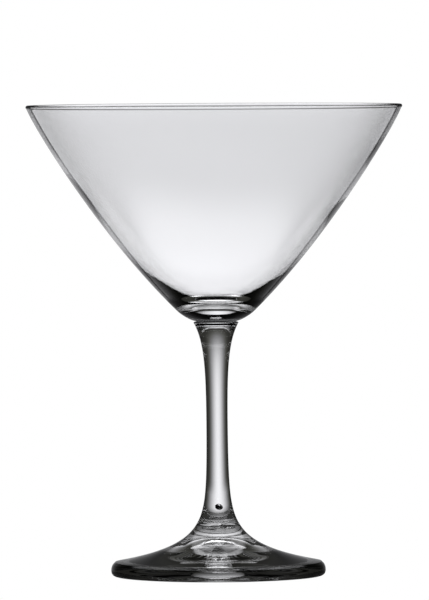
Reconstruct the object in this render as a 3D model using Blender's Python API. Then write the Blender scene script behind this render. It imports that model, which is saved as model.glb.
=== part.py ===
"""Martini glass: a conical bowl, a drawn stem and a round foot, fused end to end.

Metres, +Z up.  The origin is on the glass's axis, on the plane it stands on.
Run with: blender --background --python part.py
"""
import math

import bmesh
import bpy

# ---------------------------------------------------------------- driving dimensions
GLASS_HEIGHT = 0.1452          # standing plane to the top of the rim
RIM_RADIUS = 0.0580            # widest radius of the lip
RIM_WALL = 0.0010              # wall thickness just under the lip

BOWL_BOTTOM_Z = 0.0785         # flat face at the bowl's tip, where the stem is fused on
BOWL_TIP_RADIUS = 0.0059       # radius of that face
BOWL_TIP_PULL = 0.0016         # how far the rounded tip runs flat beside it
BOWL_HEEL_RADIUS = 0.0117      # where the straight side starts to round under
BOWL_HEEL_Z = 0.0815
HEEL_UNDER_PULL = 0.0015
RIM_SIDE_ANGLE = math.radians(22.0)    # the side's angle from vertical at the lip,
RIM_SIDE_PULL = 0.0081                 # and how far that direction carries
HEEL_SIDE_ANGLE = math.radians(46.0)   # the same just above the heel
HEEL_SIDE_PULL = 0.0308

WALL_GROWTH = 0.0015           # how much thicker the wall is at the cavity's shoulder,
WALL_GROWTH_POWER = 9.7        # and how late that sets in on the way down
SHOULDER_PULL = 0.0019         # the cavity leaves its cone at the shoulder
WELL_RADIUS = 0.0089           # and narrows to a small well over the thick tip
WELL_Z = 0.0841
WELL_ANGLE = math.radians(45.0)
WELL_PULL = 0.0018
WELL_SIDE_PULL = 0.0010
CAVITY_FLOOR_Z = 0.0832        # lowest point of the inside
CAVITY_FLOOR_PULL = 0.0061

STEM_TOP_Z = 0.0782            # the joints keep a 0.3 mm gap
STEM_BOTTOM_Z = 0.0155
FOOT_TOP_Z = 0.0152
STEM_WAIST_RADIUS = 0.0031     # the stem's outline: a slender waist, plus
STEM_HEAD_FLARE = 0.00385      # a flare that dies away below the bowl,
STEM_HEAD_LENGTH = 0.0071
STEM_SWELL = 0.0004            # a slow swell of the lower half,
STEM_SWELL_LENGTH = 0.030
FOOT_FLARE = 0.00142           # and the trumpet that spreads into the foot
FOOT_FLARE_LENGTH = 0.00525
FLARE_HEIGHT = 0.020           # height at which the swell and the trumpet have these radii

FOOT_RADIUS = 0.0331           # widest radius of the foot
FOOT_EDGE_TOP_Z = 0.0045       # height at which the trumpet meets the foot's edge
FOOT_CORNER = (0.0322, 0.0039) # radius and height of the corner that starts the edge
FOOT_WIDEST_Z = 0.0018
EDGE_ROUND = 0.0006            # how far the edge's curves run on from the corner
REST_OUTER_RADIUS = 0.0317     # the flat ring that the glass stands on
REST_WIDTH = 0.0013
RING_PULL = 0.0012             # the underside climbs from the ring
RING_RISE = 0.0012
SHELF_RADIUS = 0.0165          # to a broad, gently sloping shelf
SHELF_Z = 0.0024
SHELF_SLOPE = 0.12
SHELF_PULL_OUT = 0.0060        # how far the shelf runs on outward and inward
SHELF_PULL_IN = 0.0018
HOLLOW_RADIUS = 0.0092         # and from there into a deeper hollow in the middle
HOLLOW_Z = 0.0046
MOUTH_SLOPE = 0.5
MOUTH_PULL = 0.0023
HOLLOW_TOP_Z = 0.0080
HOLLOW_TOP_PULL = 0.0048

SIDE_STEPS = 14                # points along the bowl's side
SHOULDER_STEP = 13             # the one at which the cavity leaves its cone
STEM_STEPS = 17
TRUMPET_STEPS = 13
BOWL_SEGMENTS = 60
STEM_SEGMENTS = 36
FOOT_SEGMENTS = 60
SMOOTH_ANGLE = math.radians(35.0)

GLASS_COLOUR = (0.93, 0.94, 0.945, 1.0)
GLASS_ROUGHNESS = 0.02
GLASS_IOR = 1.52


# ---------------------------------------------------------------- outlines
def bezier(start, start_handle, end_handle, end, steps):
    """Points (radius, height) along one cubic curve, both ends included."""
    points = []
    knots = (start, start_handle, end_handle, end)
    for step in range(steps + 1):
        t = step / steps
        u = 1.0 - t
        weights = (u * u * u, 3.0 * u * u * t, 3.0 * u * t * t, t * t * t)
        radius = sum(weight * knot[0] for weight, knot in zip(weights, knots))
        height = sum(weight * knot[1] for weight, knot in zip(weights, knots))
        points.append((radius, height))
    return points


def down_the_side(point, angle, length):
    """The point a given length further down a side that leans out by angle."""
    return (point[0] - length * math.sin(angle), point[1] - length * math.cos(angle))


def carried_on(before, point, length):
    """The point a given length beyond point, in the direction from before to point."""
    run = point[0] - before[0]
    rise = point[1] - before[1]
    scale = length / math.hypot(run, rise)
    return (point[0] + run * scale, point[1] + rise * scale)


def stem_radius(height):
    """Outline shared by the stem and the foot's upper face."""
    head = STEM_HEAD_FLARE * math.exp((height - STEM_TOP_Z) / STEM_HEAD_LENGTH)
    swell = STEM_SWELL * math.exp((FLARE_HEIGHT - height) / STEM_SWELL_LENGTH)
    trumpet = FOOT_FLARE * math.exp((FLARE_HEIGHT - height) / FOOT_FLARE_LENGTH)
    return STEM_WAIST_RADIUS + head + swell + trumpet


def cavity_side(outer):
    """The bowl's outer side moved inward by its wall, from the lip down to the shoulder."""
    points = []
    for step in range(SHOULDER_STEP + 1):
        before = outer[max(step - 1, 0)]
        after = outer[step + 1]
        run = before[0] - after[0]
        rise = before[1] - after[1]
        length = math.hypot(run, rise)
        wall = RIM_WALL + WALL_GROWTH * (step / SHOULDER_STEP) ** WALL_GROWTH_POWER
        points.append((outer[step][0] - wall * rise / length, outer[step][1] + wall * run / length))
    return points


def bowl_outline():
    """Down the outside, across the tip, and up the inside to the lip."""
    lip = RIM_WALL / 2.0
    centre = (RIM_RADIUS - lip, GLASS_HEIGHT - lip)
    top = (centre[0] + lip * math.cos(RIM_SIDE_ANGLE), centre[1] - lip * math.sin(RIM_SIDE_ANGLE))
    heel = (BOWL_HEEL_RADIUS, BOWL_HEEL_Z)
    side = bezier(top, down_the_side(top, RIM_SIDE_ANGLE, RIM_SIDE_PULL),
                  down_the_side(heel, HEEL_SIDE_ANGLE, -HEEL_SIDE_PULL), heel, SIDE_STEPS)
    tip = (BOWL_TIP_RADIUS, BOWL_BOTTOM_Z)
    under = bezier(heel, down_the_side(heel, HEEL_SIDE_ANGLE, HEEL_UNDER_PULL),
                   (tip[0] + BOWL_TIP_PULL, tip[1]), tip, 4)

    cavity = cavity_side(side)
    shoulder = cavity[-1]
    well = (WELL_RADIUS, WELL_Z)
    floor = bezier((0.0, CAVITY_FLOOR_Z), (CAVITY_FLOOR_PULL, CAVITY_FLOOR_Z),
                   down_the_side(well, WELL_ANGLE, WELL_SIDE_PULL), well, 6)
    flank = bezier(well, down_the_side(well, WELL_ANGLE, -WELL_PULL),
                   carried_on(cavity[-2], shoulder, SHOULDER_PULL), shoulder, 4)

    lip_arc = []
    for eighth in (3, 2, 1, 0):     # eighths of a turn, so the top and the widest point are exact
        turn = math.pi * eighth / 4.0
        lip_arc.append((centre[0] + lip * math.cos(turn), centre[1] + lip * math.sin(turn)))
    inside = floor + flank[1:] + cavity[-2::-1]
    return side + under[1:] + [(0.0, BOWL_BOTTOM_Z)] + inside + lip_arc


def stem_outline():
    """From the middle of the top face, down the side, to the middle of the bottom face."""
    points = [(0.0, STEM_TOP_Z)]
    for step in range(STEM_STEPS + 1):
        # closer together at both ends, where the outline curves most
        share = 0.5 - 0.5 * math.cos(math.pi * step / STEM_STEPS)
        height = STEM_TOP_Z + (STEM_BOTTOM_Z - STEM_TOP_Z) * share
        points.append((stem_radius(height), height))
    points.append((0.0, STEM_BOTTOM_Z))
    return points


def foot_outline():
    """Down the trumpet, round the edge, and back along the underside to the middle."""
    points = [(0.0, FOOT_TOP_Z)]
    for step in range(TRUMPET_STEPS + 1):
        # closer together towards the edge, where the trumpet runs out flat
        share = 1.0 - (1.0 - step / TRUMPET_STEPS) ** 1.5
        height = FOOT_TOP_Z + (FOOT_EDGE_TOP_Z - FOOT_TOP_Z) * share
        points.append((stem_radius(height), height))
    widest = (FOOT_RADIUS, FOOT_WIDEST_Z)
    rest = (REST_OUTER_RADIUS, 0.0)
    points += bezier(FOOT_CORNER, (FOOT_CORNER[0] + EDGE_ROUND, FOOT_CORNER[1] - EDGE_ROUND),
                     (widest[0], widest[1] + EDGE_ROUND), widest, 3)
    points += bezier(widest, (widest[0], widest[1] - 2.0 * EDGE_ROUND),
                     (rest[0] + EDGE_ROUND, rest[1]), rest, 4)[1:]
    return points + underside()


def underside():
    """Up from the resting ring, over the shelf, and into the hollow in the middle."""
    ring = (REST_OUTER_RADIUS - REST_WIDTH, 0.0)
    shelf = (SHELF_RADIUS, SHELF_Z)
    mouth = (HOLLOW_RADIUS, HOLLOW_Z)
    top = (0.0, HOLLOW_TOP_Z)
    outer = bezier(ring, (ring[0] - RING_PULL, RING_RISE),
                   (shelf[0] + SHELF_PULL_OUT, shelf[1] - SHELF_PULL_OUT * SHELF_SLOPE), shelf, 7)
    climb = bezier(shelf, (shelf[0] - SHELF_PULL_IN, shelf[1] + SHELF_PULL_IN * SHELF_SLOPE),
                   (mouth[0] + MOUTH_PULL, mouth[1] - MOUTH_PULL * MOUTH_SLOPE), mouth, 5)
    hollow = bezier(mouth, (mouth[0] - MOUTH_PULL / 2.0, mouth[1] + MOUTH_PULL / 2.0 * MOUTH_SLOPE),
                    (HOLLOW_TOP_PULL, top[1]), top, 6)
    return outer + climb[1:] + hollow[1:]


# ---------------------------------------------------------------- solids
def turned_solid(name, outline, segments, material):
    """Spin a closed outline about the Z axis into one closed body facing out.

    The outline's points on the axis become single vertices; every other point
    becomes a ring of vertices.
    """
    bm = bmesh.new()
    rings = []
    for radius, height in outline:
        if radius == 0.0:
            rings.append([bm.verts.new((0.0, 0.0, height))])
            continue
        ring = []
        for index in range(segments):
            turn = 2.0 * math.pi * index / segments
            ring.append(bm.verts.new((radius * math.cos(turn), radius * math.sin(turn), height)))
        rings.append(ring)
    for first, second in zip(rings, rings[1:] + rings[:1]):
        if len(first) == 1 and len(second) == 1:
            continue
        for index in range(segments):
            follow = (index + 1) % segments
            if len(first) == 1:
                bm.faces.new((first[0], second[index], second[follow]))
            elif len(second) == 1:
                bm.faces.new((first[index], second[0], first[follow]))
            else:
                bm.faces.new((first[index], second[index], second[follow], first[follow]))
    bmesh.ops.recalc_face_normals(bm, faces=bm.faces)
    mesh = bpy.data.meshes.new(name)
    bm.to_mesh(mesh)
    bm.free()
    mesh.shade_smooth()
    mesh.set_sharp_from_angle(angle=SMOOTH_ANGLE)
    mesh.materials.append(material)
    solid = bpy.data.objects.new(name, mesh)
    bpy.context.collection.objects.link(solid)
    return solid


def glass_material(name):
    """Clear soda-lime glass."""
    material = bpy.data.materials.new(name)
    material.use_nodes = True
    shader = material.node_tree.nodes["Principled BSDF"]
    shader.inputs["Base Color"].default_value = GLASS_COLOUR
    shader.inputs["Metallic"].default_value = 0.0
    shader.inputs["Roughness"].default_value = GLASS_ROUGHNESS
    shader.inputs["IOR"].default_value = GLASS_IOR
    shader.inputs["Transmission Weight"].default_value = 1.0
    return material


def remove_everything():
    for item in list(bpy.data.objects):
        bpy.data.objects.remove(item, do_unlink=True)


def build_glass():
    remove_everything()
    pieces = (
        ("bowl", bowl_outline(), BOWL_SEGMENTS),
        ("stem", stem_outline(), STEM_SEGMENTS),
        ("foot", foot_outline(), FOOT_SEGMENTS),
    )
    for name, outline, segments in pieces:
        turned_solid(name, outline, segments, glass_material(name + "_glass"))


build_glass()
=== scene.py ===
import math

import bmesh
import bpy
from mathutils import Matrix, Vector, noise


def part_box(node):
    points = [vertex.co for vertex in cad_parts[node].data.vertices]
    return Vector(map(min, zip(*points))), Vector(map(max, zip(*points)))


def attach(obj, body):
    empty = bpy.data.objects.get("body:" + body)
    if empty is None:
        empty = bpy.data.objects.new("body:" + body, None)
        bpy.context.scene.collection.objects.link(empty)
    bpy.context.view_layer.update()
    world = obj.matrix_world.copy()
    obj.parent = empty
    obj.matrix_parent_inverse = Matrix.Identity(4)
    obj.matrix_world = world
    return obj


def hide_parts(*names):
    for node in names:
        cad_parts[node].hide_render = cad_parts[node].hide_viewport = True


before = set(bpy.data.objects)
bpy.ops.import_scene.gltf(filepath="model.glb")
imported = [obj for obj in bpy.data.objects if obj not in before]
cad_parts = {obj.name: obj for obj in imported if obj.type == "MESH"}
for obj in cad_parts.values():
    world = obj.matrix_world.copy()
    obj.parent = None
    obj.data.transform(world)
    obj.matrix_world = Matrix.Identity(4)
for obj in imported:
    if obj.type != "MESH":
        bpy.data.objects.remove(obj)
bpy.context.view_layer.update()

# A martini glass in clear glass: the fine bowl, stem and foot, their materials, and a
# bright-field studio.  Metres, +Z up, the origin on the axis of the glass at the table.

MM = 0.001
WHITE = (1.0, 1.0, 1.0, 1.0)

# ---------------------------------------------------------------- sizes from the frame
BOWL_LOW, BOWL_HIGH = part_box("bowl")
STEM_LOW, STEM_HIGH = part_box("stem")
FOOT_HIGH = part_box("foot")[1]

GLASS_HEIGHT = BOWL_HIGH.z
RIM_RADIUS = BOWL_HIGH.x
FOOT_RADIUS = FOOT_HIGH.x
UPPER_JOINT_Z = (BOWL_LOW.z + STEM_HIGH.z) / 2      # where bowl and stem are fused
LOWER_JOINT_Z = (STEM_LOW.z + FOOT_HIGH.z) / 2      # where stem and foot are fused

# ---------------------------------------------------------------- the bowl's shape
# A PULL is how far a curve's direction carries from the end it is named after.
RIM_WALL = 1.0 * MM                     # wall thickness under the lip
BEAD_RADIUS = 0.55 * MM                 # the lip is melted into a small round bead,
NECK_HALF_WALL = 0.47 * MM              # with a slightly thinner neck under it
NECK_LENGTH = 2.5 * MM
NECK_BLEND = 9.0                        # the higher, the sharper the change from bead to neck
RIM_SIDE_ANGLE = math.radians(22.0)     # the side's angle from vertical at the lip
RIM_SIDE_PULL = 8.1 * MM
HEEL = (11.7 * MM, 81.5 * MM)           # where the side starts to round under
HEEL_SIDE_ANGLE = math.radians(46.0)
HEEL_SIDE_PULL = 30.8 * MM
HEEL_UNDER_PULL = 1.5 * MM
TIP = (5.9 * MM, 78.5 * MM)             # where the rounded tip meets the collar
TIP_PULL = 1.63 * MM
COLLAR_RADIUS = 6.45 * MM               # radius of the fused face between bowl and stem

WALL_GROWTH = 1.46 * MM                 # extra wall thickness at the shoulder
WALL_GROWTH_POWER = 9.7                 # how late it sets in
SHOULDER_SHARE = 0.928                  # the wall runs down to this share of the side,
SHOULDER_PULL = 1.9 * MM
WELL_EDGE = (8.9 * MM, 84.1 * MM)       # then the cavity flattens over the thick tip
WELL_ANGLE = math.radians(45.0)
WELL_UP_PULL = 1.8 * MM
WELL_DOWN_PULL = 0.96 * MM
CAVITY_FLOOR_Z = 83.2 * MM              # and ends in a small well
CAVITY_FLOOR_PULL = 6.1 * MM

# ---------------------------------------------------------------- the stem's shape
STEM_HEAD = (6.84 * MM, 78.2 * MM)      # edge of the stem's head, just below the collar
HEAD_EDGE = 0.1 * MM                    # height of that edge
STEM_WAIST = 3.07 * MM                  # the radius that the flares and the swell add to
HEAD_FLARE = 3.85 * MM                  # added at the head, fading downwards
HEAD_FLARE_LENGTH = 7.07 * MM
SWELL = 0.4 * MM                        # added at the flare height, fading slowly upwards
SWELL_LENGTH = 30.0 * MM
FOOT_FLARE = 1.416 * MM                 # added there too, and growing fast down to the foot
FOOT_FLARE_LENGTH = 5.25 * MM
FLARE_HEIGHT = 20.0 * MM

# ---------------------------------------------------------------- the foot's shape
FOOT_TOP_EDGE_Z = 4.3 * MM
FOOT_CORNER = (32.2 * MM, 3.95 * MM)    # where the upper face turns over into the rim
CORNER_GAP = 0.3 * MM                   # the upper face stops this far inside the corner
CORNER_PULL = (0.6 * MM, -0.4 * MM)
FOOT_WIDEST_Z = 1.8 * MM
WIDEST_PULL = 0.7 * MM                  # upwards; the pull downwards ends at
WIDEST_LOW_SHARE = 0.4                  # this share of that height
REST_OUTER = 31.7 * MM                  # the ring that stands on the table
REST_REACH = 0.6                        # its pull, as a share of the way out to the rim
REST_WIDTH = 1.3 * MM
RING_PULL = 1.2 * MM                    # the hollow underneath: how it leaves the ring,
RING_RISE = 1.2 * MM
SHELF_EDGE = (16.5 * MM, 2.4 * MM)      # a shallow shelf,
SHELF_SLOPE = 0.12
SHELF_PULL_OUT = 6.0 * MM
SHELF_PULL_IN = 1.83 * MM
HOLLOW_RADIUS = 9.15 * MM               # and the deep hollow in the middle
HOLLOW_Z = 4.6 * MM
MOUTH_SLOPE = 0.5
MOUTH_PULL_OUT = 2.28 * MM
MOUTH_PULL_IN = 1.14 * MM
HOLLOW_TOP_Z = 8.0 * MM
HOLLOW_TOP_PULL = 4.8 * MM

LEAN = math.tan(math.radians(0.25))     # the drawn stem is not quite square to the foot

# ---------------------------------------------------------------- marks of the making
SWIRL_ARMS = 3                          # swirl inside the lower joint: spiral arms,
SWIRL_RIPPLES = 7                       # finer ripples between them,
SWIRL_RIPPLE_SHARE = 0.5
SWIRL_TWIST = 5.0                       # and how far both wind, in radians
SWIRL_RISE = 0.1 * MM
# melt ridges on the outside: height, how far it wanders, how often round, and where it starts
MELT_RIDGES = (
    (15.7 * MM, 0.55 * MM, 2, 0.4),
    (14.6 * MM, 0.50 * MM, 3, 2.0),
)
MELT_HEIGHT = 0.03 * MM
MELT_WIDTH = 0.38 * MM
MELT_REACH = 3.0 * MM                   # the ridges keep this close to the joint,
MELT_CORE = 6.0 * MM                    # and outside this radius
WAVES_AROUND = 5                        # slow waves of the bowl's inside,
WAVE_TURN = 0.6                         # turned by this many radians
WAVE_LENGTH = 6.0 * MM
WAVE_DEPTH = 0.02 * MM
RIPPLE_BAND = (90.0 * MM, 138.0 * MM)   # waves and dents fade out at both ends of it
RIPPLE_FADE = 0.5                       # the lower, the later they fade
# dents of the inside: turn in degrees, height, half-turn in degrees, half-height and depth
DENTS = (
    (180.0, 116.5 * MM, 14.0, 5.5 * MM, 0.30 * MM),
    (0.0, 112.5 * MM, 14.0, 2.8 * MM, 0.28 * MM),
    (0.0, 120.5 * MM, 14.0, 5.0 * MM, -0.12 * MM),
    (0.0, 130.5 * MM, 14.0, 4.5 * MM, 0.25 * MM),
)
STIPPLE_RADIUS = 4.0 * MM               # pressed dots in the middle of the hollow
STIPPLE_GRAIN = 0.8 * MM
STIPPLE_DEPTH = 0.04 * MM
STIPPLE_FADE = 6                        # the higher, the more sharply they stop
BUBBLE_PLACE = (0.12 * MM, 0.0, 20.9 * MM)
BUBBLE_TILT = math.radians(-20.0)
BUBBLE_SIZE = (0.8 * MM, 2.0 * MM, 1.0 * MM)
BUBBLE_SUBDIVISIONS = 4

# ---------------------------------------------------------------- how finely it is turned
SEGMENTS = 256                          # round the axis
SIDE_STEPS = 140                        # and along the outlines
LIP_STEPS = 20
HEEL_STEPS = 14
WELL_STEPS = 24
SHOULDER_STEPS = 16
STEM_STEPS = 180
JOINT_STEPS = 16
FOOT_TOP_STEPS = 100
FOOT_RIM_STEPS = 8
FOOT_REST_STEPS = 10
SHELF_STEPS = 24
MOUTH_STEPS = 14
HOLLOW_STEPS = 48
LIP_CROWDING = 1.5                      # steps are closer together towards the lip
EDGE_CROWDING = 1.6                     # and towards the foot's edge
SMOOTH_ANGLE = math.radians(28.0)       # edges that turn more than this stay crisp

# ---------------------------------------------------------------- the glass as a material
JOINT_SLOT = 1                          # material slots, after the glass itself in slot 0
BUBBLE_SLOT = 2
# A SCALE is in cells per metre.  A DETAIL is a number of finer octaves.
GLASS_IOR = 1.52
GLASS_TINT = (0.990, 0.990, 0.995, 1.0)
GLASS_TINT_DEEP = (0.982, 0.986, 0.986, 1.0)
TINT_SCALE = 30.0                       # patches of a few centimetres
TINT_DETAIL = 1.0
HAZE_SCALE = 900.0                      # handling haze, about a millimetre across
HAZE_DETAIL = 3.0
HAZE_PATCH = (0.62, 0.74)
ROUGHNESS_CLEAN = 0.0
ROUGHNESS_HAZE = 0.012
STRIA_SPACING = 1.3 * MM                # faint rings left by the turning mould
STRIA_WANDER_SCALE = 18.0
STRIA_WANDER_DETAIL = 2.0
STRIA_DEPTH = 0.0003 * MM
ORANGE_PEEL_SCALE = 260.0
ORANGE_PEEL_DETAIL = 1.0
ORANGE_PEEL_DEPTH = 0.0008 * MM
SWIRL_IOR = 1.1                         # how strongly the melt line bends light
BUBBLE_SHADE_SCALE = 900.0                      # black patches of painted shade on the skin of the bubble
BUBBLE_SHADE_DETAIL = 1.0
BUBBLE_SHADE_PATCH = (0.40, 0.52)

# ---------------------------------------------------------------- dark edges of painted shade
# Facing is 0 where the surface faces the camera and 1 where it is seen edge on.  A SHADE is the
# share of painted black shade, seen by the camera only, and a BAND is the heights between which a
# shade comes or goes.
EDGE_FACING = (0.74, 0.80)
EDGE_SHADE = 0.6
BOWL_SIDE_SHADE = 0.55                  # the bowl's thin side keeps a lighter painted edge shade
BOWL_UPPER_BAND = (120.0 * MM, 132.0 * MM)
BOWL_UPPER_SHADE = 0.8
BOWL_TIP_BAND = (90.0 * MM, 104.0 * MM)
BOWL_TIP_SHADE = 0.85
BOWL_LIP_BAND = (143.8 * MM, 144.5 * MM)
BOWL_LIP_SHADE = 0.9
WALL_LINE_BAND = (103.0 * MM, 135.0 * MM)
WALL_LINE_FACING = (0.735, 0.795)       # the facing at which the wall's inner side shows a painted dark line there, and a paler painted band outside it
WALL_LINE_RISE = 0.02                   # a dark line there, and a paler band outside it
WALL_LINE_FALL = (0.01, 0.04)
WALL_BAND_SHARE = 0.6
UNDER_BAND = (84.5 * MM, 87.0 * MM)     # painted shade darkens the rounded underside of the tip to the front
UNDER_FACING = (0.42, 0.62)
UNDER_SHADE = 0.8
STEM_FACING = (0.5, 0.8)                # the stem has a broader painted dark edge
STEM_SHADE = 0.8
SEAM_BAND = (75.5 * MM, 77.0 * MM)      # and its head, next to the seam, a broader one still
SEAM_FACING = (0.1, 0.4)
SEAM_SHADE = 0.85
FOOT_RIM_BAND = (4.0 * MM, 4.6 * MM)    # the foot's rim is dimmed all round by painted shade
FOOT_RIM_SHADE = 0.5

# ---------------------------------------------------------------- the studio
CAMERA_DISTANCE = 2.44
CAMERA_HEIGHT = 0.166
PICTURE_HEIGHT = 0.1848                 # what the picture spans at the glass
PICTURE_CENTRE = (-0.00077, 0.0850)     # x and height at the picture's centre
CAMERA_ROLL = math.radians(0.33)
LONG_SENSOR = 36.0
GLASS_BOUNCES = 24
SEE_THROUGH_BOUNCES = 32

# Directions of light are in degrees, from straight ahead of the camera.
PANEL_AZIMUTH = -2.8                    # a soft pale panel behind the glass,
PANEL_TOP = -6.5
PANEL_BOTTOM = -33.0
PANEL_SPREAD = 14.2                     # how softly it fades sideways and upwards,
PANEL_LOW_SPREAD = 8.0                  # downwards,
PANEL_WIDE_BELOW = (-10.0, -5.0)
PANEL_WIDE_SPREAD = 19.0                # and sideways in its lower part
SKY_ELEVATION = 71.0                    # a round soft light high up
SKY_EDGE = (37.0, 44.0)
SKY_LEVEL = 1.8
SKY_CUT = (46.0, 58.0)                  # screened off from behind the glass
AMBIENT = 0.029
SHADE_COLOUR = (1.0, 1.0, 0.86, 1.0)    # the dark surround is a little warm
LIGHT_COLOUR = (0.975, 0.975, 1.0, 1.0)
SHADE_RANGE = 5.0                       # how soon brighter light turns cool

FLOOR_HALF = 3.0
FLOOR_DROP = 0.05 * MM
CARD_RADIUS = 0.023                     # a dark card under the foot, with a soft edge
CARD_SOFT = 0.041
CARD_LEVEL = 0.03
CARD_CLEAR = (0.5, 1.0)                 # rays this close to straight ahead pass it


# ---------------------------------------------------------------- outlines
def bezier(start, leave, arrive, end, steps):
    """Points (radius, height) along one cubic curve, both ends included."""
    return bezier_at(start, leave, arrive, end, [step / steps for step in range(steps + 1)])


def bezier_at(start, leave, arrive, end, shares):
    """Points (radius, height) along one cubic curve, at the given shares of it."""
    knots = (start, leave, arrive, end)
    points = []
    for share in shares:
        left = 1.0 - share
        weights = (left * left * left, 3.0 * left * left * share,
                   3.0 * left * share * share, share * share * share)
        points.append(tuple(sum(weight * knot[axis] for weight, knot in zip(weights, knots))
                            for axis in (0, 1)))
    return points


def down_the_side(point, angle, length):
    """The point a given length further down a side that leans out by angle."""
    return (point[0] - length * math.sin(angle), point[1] - length * math.cos(angle))


def lip_centre():
    """Centre of the fire-polished bead that rounds the lip."""
    return (RIM_RADIUS - BEAD_RADIUS, GLASS_HEIGHT - BEAD_RADIUS)


def lip_arc():
    """Points over the bead, from the inside of the bowl to the outside."""
    centre = lip_centre()
    points = []
    for step in range(1, LIP_STEPS):
        turn = math.pi * (1.0 - step / LIP_STEPS) - RIM_SIDE_ANGLE
        points.append((centre[0] + BEAD_RADIUS * math.cos(turn),
                       centre[1] + BEAD_RADIUS * math.sin(turn)))
    return points


def half_wall(depth):
    """Half the wall's thickness at a depth below the bead's centre: bead, neck, then wall."""
    bead = math.sqrt(max(BEAD_RADIUS ** 2 - depth ** 2, 0.0))
    recovery = 1.0 - math.exp(-(depth / NECK_LENGTH) ** 2)
    wall = NECK_HALF_WALL + (RIM_WALL / 2.0 - NECK_HALF_WALL) * recovery
    return (bead ** NECK_BLEND + wall ** NECK_BLEND) ** (1.0 / NECK_BLEND)


def middle_of_wall():
    """Points down the bowl's wall with the outward normal and the share of the way down."""
    centre = lip_centre()
    half = RIM_WALL / 2.0
    top = (centre[0] + half * math.cos(RIM_SIDE_ANGLE), centre[1] - half * math.sin(RIM_SIDE_ANGLE))
    shares = [(step / SIDE_STEPS) ** LIP_CROWDING for step in range(SIDE_STEPS + 1)]
    side = bezier_at(top, down_the_side(top, RIM_SIDE_ANGLE, RIM_SIDE_PULL),
                     down_the_side(HEEL, HEEL_SIDE_ANGLE, -HEEL_SIDE_PULL), HEEL, shares)
    rows = []
    for index, (radius, height) in enumerate(side):
        before = side[max(index - 1, 0)]
        after = side[min(index + 1, SIDE_STEPS)]
        run = before[0] - after[0]
        rise = before[1] - after[1]
        length = math.hypot(run, rise)
        normal = (rise / length, -run / length)
        middle = (radius - half * normal[0], height - half * normal[1])
        rows.append((middle, normal, shares[index]))
    return rows


def bowl_sides():
    """The outer side from the lip down, and the cavity's side with its thicker lower wall."""
    outer, inner = [], []
    start = lip_centre()
    for middle, normal, share in middle_of_wall():
        half = half_wall(math.hypot(start[0] - middle[0], start[1] - middle[1]))
        extra = WALL_GROWTH * (share / SHOULDER_SHARE) ** WALL_GROWTH_POWER
        outer.append((middle[0] + half * normal[0], middle[1] + half * normal[1]))
        if share <= SHOULDER_SHARE:
            inner.append((middle[0] - (half + extra) * normal[0],
                          middle[1] - (half + extra) * normal[1]))
    return outer, inner


def well_and_shoulder(before_last, last):
    """From the middle of the cavity's floor, out of the well, to the lower end of its side."""
    length = math.hypot(last[0] - before_last[0], last[1] - before_last[1])
    onward = (last[0] + SHOULDER_PULL * (last[0] - before_last[0]) / length,
              last[1] + SHOULDER_PULL * (last[1] - before_last[1]) / length)
    well = bezier((0.0, CAVITY_FLOOR_Z), (CAVITY_FLOOR_PULL, CAVITY_FLOOR_Z),
                  down_the_side(WELL_EDGE, WELL_ANGLE, WELL_DOWN_PULL), WELL_EDGE, WELL_STEPS)
    shoulder = bezier(WELL_EDGE, down_the_side(WELL_EDGE, WELL_ANGLE, -WELL_UP_PULL),
                      onward, last, SHOULDER_STEPS)
    return well + shoulder[1:]


def bowl_outline():
    """Down the outside, across the joint with the stem, and up the cavity to the lip."""
    side, cavity = bowl_sides()
    under = bezier(HEEL, down_the_side(HEEL, HEEL_SIDE_ANGLE, HEEL_UNDER_PULL),
                   (TIP[0] + TIP_PULL, TIP[1]), TIP, HEEL_STEPS)
    joint = [(COLLAR_RADIUS, UPPER_JOINT_Z), (0.0, UPPER_JOINT_Z)]
    floor = well_and_shoulder(cavity[-2], cavity[-1])
    return side + under[1:] + joint + floor + cavity[-2::-1] + lip_arc()


def stem_radius(height):
    """Radius of the stem, and of the foot's upper face that it spreads into."""
    head = HEAD_FLARE * math.exp((height - STEM_HEAD[1]) / HEAD_FLARE_LENGTH)
    swell = SWELL * math.exp((FLARE_HEIGHT - height) / SWELL_LENGTH)
    flare = FOOT_FLARE * math.exp((FLARE_HEIGHT - height) / FOOT_FLARE_LENGTH)
    return STEM_WAIST + head + swell + flare


LOWER_JOINT_RADIUS = stem_radius(LOWER_JOINT_Z)


def joint_rings():
    """Across the lower joint from its middle, the last point being on the outside."""
    return [(LOWER_JOINT_RADIUS * step / JOINT_STEPS, LOWER_JOINT_Z)
            for step in range(JOINT_STEPS + 1)]


def stem_outline():
    """From the joint with the bowl, down the stem, and across the joint with the foot."""
    points = [(0.0, UPPER_JOINT_Z), (COLLAR_RADIUS, UPPER_JOINT_Z), STEM_HEAD]
    top = STEM_HEAD[1] - HEAD_EDGE
    for step in range(STEM_STEPS):
        # closer together at both ends, where the outline curves most
        share = 0.5 - 0.5 * math.cos(math.pi * step / STEM_STEPS)
        height = top + (LOWER_JOINT_Z - top) * share
        points.append((stem_radius(height), height))
    return points + joint_rings()[::-1]


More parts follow.
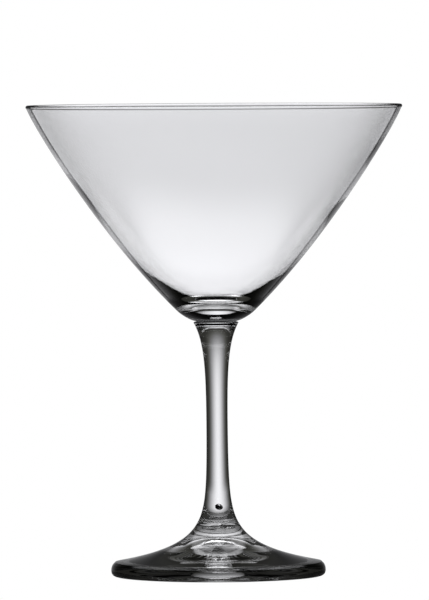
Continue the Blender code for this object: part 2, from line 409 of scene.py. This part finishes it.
def foot_outline():
    """From the joint, down the upper face, over the rim to the ring, and back underneath."""
    points = joint_rings()[:-1]
    for step in range(FOOT_TOP_STEPS + 1):
        share = 1.0 - (1.0 - step / FOOT_TOP_STEPS) ** EDGE_CROWDING
        height = LOWER_JOINT_Z + (FOOT_TOP_EDGE_Z - LOWER_JOINT_Z) * share
        if stem_radius(height) < FOOT_CORNER[0] - CORNER_GAP:
            points.append((stem_radius(height), height))
    widest = (FOOT_RADIUS, FOOT_WIDEST_Z)
    turn_in = REST_OUTER + (FOOT_RADIUS - REST_OUTER) * REST_REACH
    rim = bezier(FOOT_CORNER, (FOOT_CORNER[0] + CORNER_PULL[0], FOOT_CORNER[1] + CORNER_PULL[1]),
                 (FOOT_RADIUS, FOOT_WIDEST_Z + WIDEST_PULL), widest, FOOT_RIM_STEPS)
    edge = bezier(widest, (FOOT_RADIUS, FOOT_WIDEST_Z * WIDEST_LOW_SHARE),
                  (turn_in, 0.0), (REST_OUTER, 0.0), FOOT_REST_STEPS)
    return points + rim + edge[1:] + underside()


def underside():
    """From the inner edge of the resting ring, over a shallow shelf, into the deep hollow."""
    ring = (REST_OUTER - REST_WIDTH, 0.0)
    shelf = SHELF_EDGE
    mouth = (HOLLOW_RADIUS, HOLLOW_Z)
    outer = bezier(ring, (ring[0] - RING_PULL, RING_RISE),
                   (shelf[0] + SHELF_PULL_OUT, shelf[1] - SHELF_PULL_OUT * SHELF_SLOPE),
                   shelf, SHELF_STEPS)
    rise = bezier(shelf, (shelf[0] - SHELF_PULL_IN, shelf[1] + SHELF_PULL_IN * SHELF_SLOPE),
                  (mouth[0] + MOUTH_PULL_OUT, mouth[1] - MOUTH_PULL_OUT * MOUTH_SLOPE),
                  mouth, MOUTH_STEPS)
    hollow = bezier(mouth, (mouth[0] - MOUTH_PULL_IN, mouth[1] + MOUTH_PULL_IN * MOUTH_SLOPE),
                    (HOLLOW_TOP_PULL, HOLLOW_TOP_Z), (0.0, HOLLOW_TOP_Z), HOLLOW_STEPS)
    return outer + rise[1:] + hollow[1:]


# ---------------------------------------------------------------- meshes
def joint_wave(radius, turn):
    """Height of the swirl above the plane of the lower joint, where stem and foot were melted.

    It is flat at the middle of the joint and at its outside.
    """
    share = radius / LOWER_JOINT_RADIUS
    fade = 4.0 * share * (1.0 - share)
    spiral = math.sin(SWIRL_ARMS * turn + SWIRL_TWIST * share)
    ripple = math.sin(SWIRL_RIPPLES * turn - SWIRL_TWIST * share * share)
    return SWIRL_RISE * fade * (spiral + SWIRL_RIPPLE_SHARE * ripple)


def melt_ridge(height, turn):
    """How far the melt line stands out: faint ridges that wander round the lower joint."""
    total = 0.0
    for level, wander, arms, phase in MELT_RIDGES:
        middle = level + wander * math.sin(arms * turn + phase)
        total += MELT_HEIGHT * math.exp(-((height - middle) / MELT_WIDTH) ** 2)
    return total


def ring_of_points(bm, radius, height):
    """One ring round the leaning axis, or a single point on it where the radius is nothing."""
    if radius == 0.0:
        return [bm.verts.new((-LEAN * height, 0.0, height))]
    near_joint = abs(height - LOWER_JOINT_Z) < MELT_REACH
    on_joint = height == LOWER_JOINT_Z
    ring = []
    for index in range(SEGMENTS):
        turn = 2.0 * math.pi * index / SEGMENTS
        out = melt_ridge(height, turn) if near_joint and radius > MELT_CORE else 0.0
        rise = joint_wave(radius, turn) if on_joint else 0.0
        ring.append(bm.verts.new(((radius + out) * math.cos(turn) - LEAN * height,
                                  (radius + out) * math.sin(turn), height + rise)))
    return ring


def band_corners(first, second, index):
    """Corners of one face between two rings, either of which may be a single point."""
    follow = (index + 1) % SEGMENTS
    if len(first) == 1:
        return (first[0], second[index], second[follow])
    if len(second) == 1:
        return (first[index], second[0], first[follow])
    return (first[index], second[index], second[follow], first[follow])


def turned_glass(name, outline, joints, materials):
    """Spin a closed outline about Z.  Faces that lie in a joint take the joint's material."""
    bm = bmesh.new()
    rings = [ring_of_points(bm, radius, height) for radius, height in outline]
    heights = [height for _, height in outline]
    for first, second, first_z, second_z in zip(rings, rings[1:] + rings[:1],
                                                heights, heights[1:] + heights[:1]):
        if len(first) == 1 and len(second) == 1:
            continue
        slot = JOINT_SLOT if first_z == second_z and first_z in joints else 0
        for index in range(SEGMENTS):
            bm.faces.new(band_corners(first, second, index)).material_index = slot
    bmesh.ops.recalc_face_normals(bm, faces=bm.faces)
    mesh = bpy.data.meshes.new(name)
    bm.to_mesh(mesh)
    bm.free()
    mesh.shade_smooth()
    mesh.set_sharp_from_angle(angle=SMOOTH_ANGLE)
    for material in materials:
        mesh.materials.append(material)
    piece = bpy.data.objects.new(name, mesh)
    bpy.context.scene.collection.objects.link(piece)
    return piece


def inside_ripple(turn, height):
    """How far the inside of the bowl stands off its true cone: blown waves and a few dents."""
    around = math.sin(WAVES_AROUND * turn + WAVE_TURN) * math.cos(height / WAVE_LENGTH)
    total = WAVE_DEPTH * around
    for dent_turn, dent_z, half_turn, half_height, depth in DENTS:
        apart = math.remainder(turn - math.radians(dent_turn), 2.0 * math.pi)
        square = (apart / math.radians(half_turn)) ** 2 + ((height - dent_z) / half_height) ** 2
        total += depth * math.exp(-square)
    return total


def ripple_inside(mesh):
    """Move the inner side of the bowl by its ripple.  The rim and the tip stay true."""
    low, high = RIPPLE_BAND
    normals = [vertex.normal.copy() for vertex in mesh.vertices]
    for vertex, normal in zip(mesh.vertices, normals):
        place = vertex.co.copy()
        facing_in = normal.x * place.x + normal.y * place.y < 0.0
        if facing_in and low < place.z < high:
            fade = math.sin(math.pi * ((place.z - low) / (high - low))) ** RIPPLE_FADE
            turn = math.atan2(place.y, place.x)
            vertex.co = place + normal * inside_ripple(turn, place.z) * fade


def stipple_underside(mesh):
    """Roughen the disc in the middle of the hollow under the foot with fine pressed dots."""
    for vertex in mesh.vertices:
        radius = math.hypot(vertex.co.x, vertex.co.y)
        if radius < STIPPLE_RADIUS and HOLLOW_Z < vertex.co.z < HOLLOW_TOP_Z + STIPPLE_DEPTH:
            fade = 1.0 - (radius / STIPPLE_RADIUS) ** STIPPLE_FADE
            dots = noise.noise(Vector((vertex.co.x, vertex.co.y, 0.0)) / STIPPLE_GRAIN)
            vertex.co.z += STIPPLE_DEPTH * dots * fade


def add_bubble(mesh):
    """A seed: one small drop-shaped bubble of air in the lower stem."""
    bm = bmesh.new()
    bm.from_mesh(mesh)
    turned = Matrix.Translation(BUBBLE_PLACE) @ Matrix.Rotation(BUBBLE_TILT, 4, "Y")
    made = bmesh.ops.create_icosphere(bm, subdivisions=BUBBLE_SUBDIVISIONS, radius=1.0,
                                      matrix=turned @ Matrix.Diagonal((*BUBBLE_SIZE, 1.0)))
    faces = {face for vertex in made["verts"] for face in vertex.link_faces}
    for face in faces:
        face.smooth = True
        face.material_index = BUBBLE_SLOT
    bmesh.ops.reverse_faces(bm, faces=list(faces))
    bm.to_mesh(mesh)
    bm.free()


# ---------------------------------------------------------------- node helpers
def math_node(tree, operation, *values):
    """The result of a Math node, whose values may be numbers or other nodes' outputs."""
    node = tree.nodes.new("ShaderNodeMath")
    node.operation = operation
    for socket, value in zip(node.inputs, values):
        if isinstance(value, bpy.types.NodeSocket):
            tree.links.new(value, socket)
        else:
            socket.default_value = value
    return node.outputs[0]


def smooth_step(tree, value, span, at_low, at_high):
    """A smooth change from one level to another while the value crosses the span."""
    node = tree.nodes.new("ShaderNodeMapRange")
    node.interpolation_type = "SMOOTHSTEP"
    tree.links.new(value, node.inputs["Value"])
    levels = {"From Min": span[0], "From Max": span[1], "To Min": at_low, "To Max": at_high}
    for name, level in levels.items():
        node.inputs[name].default_value = level
    return node.outputs["Result"]


def noise_value(tree, place, scale, detail):
    node = tree.nodes.new("ShaderNodeTexNoise")
    tree.links.new(place, node.inputs["Vector"])
    node.inputs["Scale"].default_value = scale
    node.inputs["Detail"].default_value = detail
    return node.outputs["Fac"]


def degrees(tree, radians):
    return math_node(tree, "MULTIPLY", radians, 180.0 / math.pi)


def angle_of(tree, cosine):
    """The angle in degrees that has the given cosine."""
    return degrees(tree, math_node(tree, "ARCCOSINE", math_node(tree, "MINIMUM", cosine, 1.0)))


def axes_of(tree, vector):
    """The X, Y and Z outputs of a vector."""
    split = tree.nodes.new("ShaderNodeSeparateXYZ")
    tree.links.new(vector, split.inputs[0])
    return split.outputs


def mixed_colour(tree, share, first, second):
    node = tree.nodes.new("ShaderNodeMix")
    node.data_type = "RGBA"
    colours = [socket for socket in node.inputs if socket.type == "RGBA"]
    colours[0].default_value = first
    colours[1].default_value = second
    tree.links.new(share, node.inputs[0])
    return next(socket for socket in node.outputs if socket.type == "RGBA")


def mixed_shader(tree, share, first, second):
    """The first shader where the share is 0, and the second where it is 1."""
    node = tree.nodes.new("ShaderNodeMixShader")
    for socket, value in zip(node.inputs, (share, first, second)):
        tree.links.new(value, socket)
    return node.outputs["Shader"]


def emission(tree, strength):
    node = tree.nodes.new("ShaderNodeEmission")
    node.inputs["Color"].default_value = WHITE
    node.inputs["Strength"].default_value = strength
    return node.outputs["Emission"]


def seen_by_camera(tree):
    return tree.nodes.new("ShaderNodeLightPath").outputs["Is Camera Ray"]


def object_place(tree):
    return tree.nodes.new("ShaderNodeTexCoord").outputs["Object"]


def empty_tree(owner):
    owner.use_nodes = True
    owner.node_tree.nodes.clear()
    return owner.node_tree


def new_material(name, shader_of):
    """A material whose surface is the shader that shader_of makes in its tree."""
    material = bpy.data.materials.new(name)
    tree = empty_tree(material)
    output = tree.nodes.new("ShaderNodeOutputMaterial")
    tree.links.new(shader_of(tree), output.inputs["Surface"])
    return material


# ---------------------------------------------------------------- materials
def surface_relief(tree, place):
    """Height of the finest relief, in metres: rings round the axis, and a soft orange peel."""
    drift = noise_value(tree, place, STRIA_WANDER_SCALE, STRIA_WANDER_DETAIL)
    wander = math_node(tree, "MULTIPLY", drift, 2.0 * math.pi)
    phase = math_node(tree, "MULTIPLY", axes_of(tree, place)["Z"], 2.0 * math.pi / STRIA_SPACING)
    rings = math_node(tree, "SINE", math_node(tree, "ADD", phase, wander))
    peel = noise_value(tree, place, ORANGE_PEEL_SCALE, ORANGE_PEEL_DETAIL)
    return math_node(tree, "ADD", math_node(tree, "MULTIPLY", rings, STRIA_DEPTH),
                     math_node(tree, "MULTIPLY", peel, ORANGE_PEEL_DEPTH))


def foot_edge_shade(tree, height, facing):
    """Painted shade: a dark edge, and a dimmed rim."""
    edge = smooth_step(tree, facing, EDGE_FACING, 0.0, EDGE_SHADE)
    rim = smooth_step(tree, height, FOOT_RIM_BAND, FOOT_RIM_SHADE, 0.0)
    return math_node(tree, "MAXIMUM", edge, rim)


def stem_edge_shade(tree, height, facing):
    """Painted shade: a dark edge, broader on the stem's head than on its shaft."""
    shaft = smooth_step(tree, facing, STEM_FACING, 0.0, STEM_SHADE)
    head = smooth_step(tree, facing, SEAM_FACING, 0.0, SEAM_SHADE)
    near_seam = smooth_step(tree, height, SEAM_BAND, 0.0, 1.0)
    return math_node(tree, "MAXIMUM", shaft, math_node(tree, "MULTIPLY", head, near_seam))


def wall_line_shade(tree, height, facing):
    """Painted shade: one where the inner side of the wall shows near the outline, and less outside
    that line.
    """
    inner = smooth_step(tree, height, WALL_LINE_BAND, *WALL_LINE_FACING)
    past = math_node(tree, "SUBTRACT", facing, inner)
    rise = smooth_step(tree, past, (-WALL_LINE_RISE, 0.0), 0.0, 1.0)
    fall = smooth_step(tree, past, WALL_LINE_FALL, 1.0, WALL_BAND_SHARE)
    return math_node(tree, "MULTIPLY", rise, fall)


def bowl_edge_shade(tree, height, facing):
    """Painted shade at the edge: light on the thin side of the bowl, darker on its thick tip and on
    the lip.
    """
    tip = smooth_step(tree, height, BOWL_TIP_BAND, BOWL_TIP_SHADE, BOWL_SIDE_SHADE)
    upper = smooth_step(tree, height, BOWL_UPPER_BAND, 0.0, BOWL_UPPER_SHADE)
    wall = math_node(tree, "MULTIPLY", wall_line_shade(tree, height, facing),
                     math_node(tree, "MAXIMUM", tip, upper))
    at_lip = smooth_step(tree, height, BOWL_LIP_BAND, 0.0, BOWL_LIP_SHADE)
    edge = smooth_step(tree, facing, EDGE_FACING, 0.0, 1.0)
    side = math_node(tree, "MAXIMUM", wall, math_node(tree, "MULTIPLY", edge, at_lip))
    at_tip = smooth_step(tree, height, UNDER_BAND, UNDER_SHADE, 0.0)
    under = smooth_step(tree, facing, UNDER_FACING, 0.0, 1.0)
    return math_node(tree, "MAXIMUM", side, math_node(tree, "MULTIPLY", at_tip, under))


def clear_glass(tree, place):
    """Clear glass: slow changes of tint, a little handling haze, and faint relief."""
    drift = noise_value(tree, place, TINT_SCALE, TINT_DETAIL)
    tint = mixed_colour(tree, drift, GLASS_TINT, GLASS_TINT_DEEP)
    marks = noise_value(tree, place, HAZE_SCALE, HAZE_DETAIL)
    haze = smooth_step(tree, marks, HAZE_PATCH, ROUGHNESS_CLEAN, ROUGHNESS_HAZE)
    relief = tree.nodes.new("ShaderNodeBump")
    relief.inputs["Distance"].default_value = 1.0
    tree.links.new(surface_relief(tree, place), relief.inputs["Height"])
    shader = tree.nodes.new("ShaderNodeBsdfPrincipled")
    shader.inputs["IOR"].default_value = GLASS_IOR
    shader.inputs["Transmission Weight"].default_value = 1.0
    tree.links.new(tint, shader.inputs["Base Color"])
    tree.links.new(haze, shader.inputs["Roughness"])
    tree.links.new(relief.outputs["Normal"], shader.inputs["Normal"])
    return shader.outputs["BSDF"]


def edge_shaded_glass(edge_shade):
    """Clear glass with painted shade: black is mixed in for the camera where edge_shade says.

    It stands in for the dark card outside the picture, which darkens the edges of real glassware in
    a bright field.
    """
    def shader_of(tree):
        place = object_place(tree)
        facing = tree.nodes.new("ShaderNodeLayerWeight").outputs["Facing"]
        shade = edge_shade(tree, axes_of(tree, place)["Z"], facing)
        share = math_node(tree, "MULTIPLY", shade, seen_by_camera(tree))
        return mixed_shader(tree, share, clear_glass(tree, place), emission(tree, 0.0))
    return shader_of


def fused_joint(tree):
    """The face where two pieces are melted into one: light passes it without bending."""
    return tree.nodes.new("ShaderNodeBsdfTransparent").outputs["BSDF"]


def melt_line(tree):
    """The melt line on top of the foot, where the glass bends light a little."""
    bend = tree.nodes.new("ShaderNodeBsdfRefraction")
    bend.inputs["Color"].default_value = WHITE
    bend.inputs["Roughness"].default_value = 0.0
    bend.inputs["IOR"].default_value = SWIRL_IOR
    return bend.outputs["BSDF"]


def bubble_skin_painted_dark(tree):
    """The skin of the bubble in the stem: clear, with black patches of painted shade."""
    skin = tree.nodes.new("ShaderNodeBsdfGlass")
    skin.inputs["IOR"].default_value = GLASS_IOR
    skin.inputs["Roughness"].default_value = 0.0
    patches = noise_value(tree, object_place(tree), BUBBLE_SHADE_SCALE, BUBBLE_SHADE_DETAIL)
    share = smooth_step(tree, patches, BUBBLE_SHADE_PATCH, 0.0, 1.0)
    return mixed_shader(tree, share, skin.outputs["BSDF"], emission(tree, 0.0))


# ---------------------------------------------------------------- studio
def add_camera():
    data = bpy.data.cameras.new("camera")
    data.sensor_width = LONG_SENSOR
    data.lens = LONG_SENSOR * CAMERA_DISTANCE / PICTURE_HEIGHT
    camera = bpy.data.objects.new("camera", data)
    bpy.context.scene.collection.objects.link(camera)
    place = Vector((0.0, -CAMERA_DISTANCE, CAMERA_HEIGHT))
    aim = Vector((PICTURE_CENTRE[0], 0.0, PICTURE_CENTRE[1]))
    look = (aim - place).to_track_quat("-Z", "Y").to_matrix().to_4x4()
    camera.matrix_world = Matrix.Translation(place) @ look @ Matrix.Rotation(-CAMERA_ROLL, 4, "Z")
    bpy.context.scene.camera = camera


def gauss(tree, *offsets):
    """exp(-0.5 * sum of squares)"""
    total = 0.0
    for offset in offsets:
        total = math_node(tree, "ADD", math_node(tree, "MULTIPLY", offset, offset), total)
    return math_node(tree, "EXPONENT", math_node(tree, "MULTIPLY", total, -0.5))


def panel_light(tree, azimuth, elevation):
    """The soft pale panel behind the glass, wider in its lower part."""
    spread = smooth_step(tree, elevation, PANEL_WIDE_BELOW, PANEL_WIDE_SPREAD, PANEL_SPREAD)
    across = math_node(tree, "DIVIDE", math_node(tree, "SUBTRACT", azimuth, PANEL_AZIMUTH), spread)
    above = math_node(tree, "MAXIMUM", math_node(tree, "SUBTRACT", elevation, PANEL_TOP), 0.0)
    below = math_node(tree, "MAXIMUM", math_node(tree, "SUBTRACT", PANEL_BOTTOM, elevation), 0.0)
    return gauss(tree, across, math_node(tree, "DIVIDE", above, PANEL_SPREAD),
                 math_node(tree, "DIVIDE", below, PANEL_LOW_SPREAD))


def sky_light(tree, up, ahead):
    """The round soft light high up, screened off from behind the glass."""
    elevation = math.radians(SKY_ELEVATION)
    toward = math_node(tree, "ADD", math_node(tree, "MULTIPLY", up, math.sin(elevation)),
                       math_node(tree, "MULTIPLY", ahead, math.cos(elevation)))
    sky = smooth_step(tree, angle_of(tree, toward), SKY_EDGE, SKY_LEVEL, 0.0)
    cut = smooth_step(tree, angle_of(tree, ahead), SKY_CUT, 0.0, 1.0)
    return math_node(tree, "MULTIPLY", sky, cut)


def studio_light(tree, right, up, ahead):
    """Brightness seen in a direction, given in the camera's own axes."""
    azimuth = degrees(tree, math_node(tree, "ARCTAN2", right, ahead))
    elevation = degrees(tree, math_node(tree, "ARCSINE", up))
    panel = panel_light(tree, azimuth, elevation)
    lights = math_node(tree, "ADD", panel, sky_light(tree, up, ahead))
    return math_node(tree, "ADD", lights, AMBIENT)


def camera_axes(tree):
    """The direction of a ray in the camera's axes: right, up and ahead."""
    normalize = tree.nodes.new("ShaderNodeVectorMath")
    normalize.operation = "NORMALIZE"
    coordinates = tree.nodes.new("ShaderNodeTexCoord")
    tree.links.new(coordinates.outputs["Camera"], normalize.inputs[0])
    return axes_of(tree, normalize.outputs[0])


def add_world():
    """The studio's light for the glass, and a white backdrop for the camera."""
    world = bpy.data.worlds.new("studio")
    bpy.context.scene.world = world
    tree = empty_tree(world)
    light = studio_light(tree, *camera_axes(tree))
    lit = math_node(tree, "MINIMUM", math_node(tree, "MULTIPLY", light, SHADE_RANGE), 1.0)
    around = tree.nodes.new("ShaderNodeBackground")
    tree.links.new(mixed_colour(tree, lit, SHADE_COLOUR, LIGHT_COLOUR), around.inputs["Color"])
    tree.links.new(light, around.inputs["Strength"])
    backdrop = tree.nodes.new("ShaderNodeBackground")
    backdrop.inputs["Color"].default_value = WHITE
    seen = mixed_shader(tree, seen_by_camera(tree), around.outputs["Background"],
                        backdrop.outputs["Background"])
    output = tree.nodes.new("ShaderNodeOutputWorld")
    tree.links.new(seen, output.inputs["Surface"])


def past_the_card(tree):
    """One where a ray misses the dark card, or still points almost straight ahead."""
    place = tree.nodes.new("ShaderNodeNewGeometry")
    from_axis = tree.nodes.new("ShaderNodeVectorMath")
    from_axis.operation = "LENGTH"
    tree.links.new(place.outputs["Position"], from_axis.inputs[0])
    outside = smooth_step(tree, from_axis.outputs["Value"],
                          (CARD_RADIUS, CARD_RADIUS + CARD_SOFT), 0.0, 1.0)
    to_camera = tree.nodes.new("ShaderNodeVectorTransform")
    to_camera.vector_type = "VECTOR"
    to_camera.convert_from = "WORLD"
    to_camera.convert_to = "CAMERA"
    tree.links.new(place.outputs["Incoming"], to_camera.inputs[0])
    ahead = math_node(tree, "ABSOLUTE", axes_of(tree, to_camera.outputs[0])["Z"])
    straight = smooth_step(tree, angle_of(tree, ahead), CARD_CLEAR, 1.0, 0.0)
    return math_node(tree, "MAXIMUM", outside, straight)


def table_top(tree):
    """Pale to the camera.  Under the foot lies a dark card, which only bent light sees."""
    clear = tree.nodes.new("ShaderNodeBsdfTransparent").outputs["BSDF"]
    around = mixed_shader(tree, past_the_card(tree), emission(tree, CARD_LEVEL), clear)
    return mixed_shader(tree, seen_by_camera(tree), around, emission(tree, 1.0))


def add_floor():
    corners = [(-FLOOR_HALF, -FLOOR_HALF), (FLOOR_HALF, -FLOOR_HALF),
               (FLOOR_HALF, FLOOR_HALF), (-FLOOR_HALF, FLOOR_HALF)]
    mesh = bpy.data.meshes.new("floor")
    mesh.from_pydata([(x, y, -FLOOR_DROP) for x, y in corners], [], [(0, 1, 2, 3)])
    mesh.materials.append(new_material("table", table_top))
    floor = bpy.data.objects.new("floor", mesh)
    bpy.context.scene.collection.objects.link(floor)


def set_light_paths():
    """Enough bounces for light to cross every wall of the glass."""
    scene = bpy.context.scene
    scene.view_settings.view_transform = "Standard"
    scene.cycles.max_bounces = GLASS_BOUNCES
    scene.cycles.transmission_bounces = GLASS_BOUNCES
    scene.cycles.transparent_max_bounces = SEE_THROUGH_BOUNCES


# ---------------------------------------------------------------- the glass
def add_glass():
    fused = new_material("fused_joint", fused_joint)
    melted = new_material("melt_line", melt_line)
    # the bubble's skin has black patches of painted shade
    bubble = new_material("bubble_skin_painted_dark", bubble_skin_painted_dark)
    # node, outline, heights of its joints, edge shade, marks of making, materials of its slots
    pieces = (
        ("bowl", bowl_outline(), (UPPER_JOINT_Z,), bowl_edge_shade, ripple_inside, (fused,)),
        ("stem", stem_outline(), (UPPER_JOINT_Z, LOWER_JOINT_Z), stem_edge_shade, add_bubble,
         (fused, bubble)),
        ("foot", foot_outline(), (LOWER_JOINT_Z,), foot_edge_shade, stipple_underside, (melted,)),
    )
    for node, outline, joints, edge_shade, add_marks, more_materials in pieces:
        # the glass of each piece has painted shade on its edges, for the camera only
        glass = new_material(node + "_glass", edge_shaded_glass(edge_shade))
        piece = turned_glass("clear_" + node, outline, joints, (glass,) + more_materials)
        add_marks(piece.data)
        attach(piece, "root")
        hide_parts(node)


add_glass()
add_camera()
add_world()
add_floor()
set_light_paths()
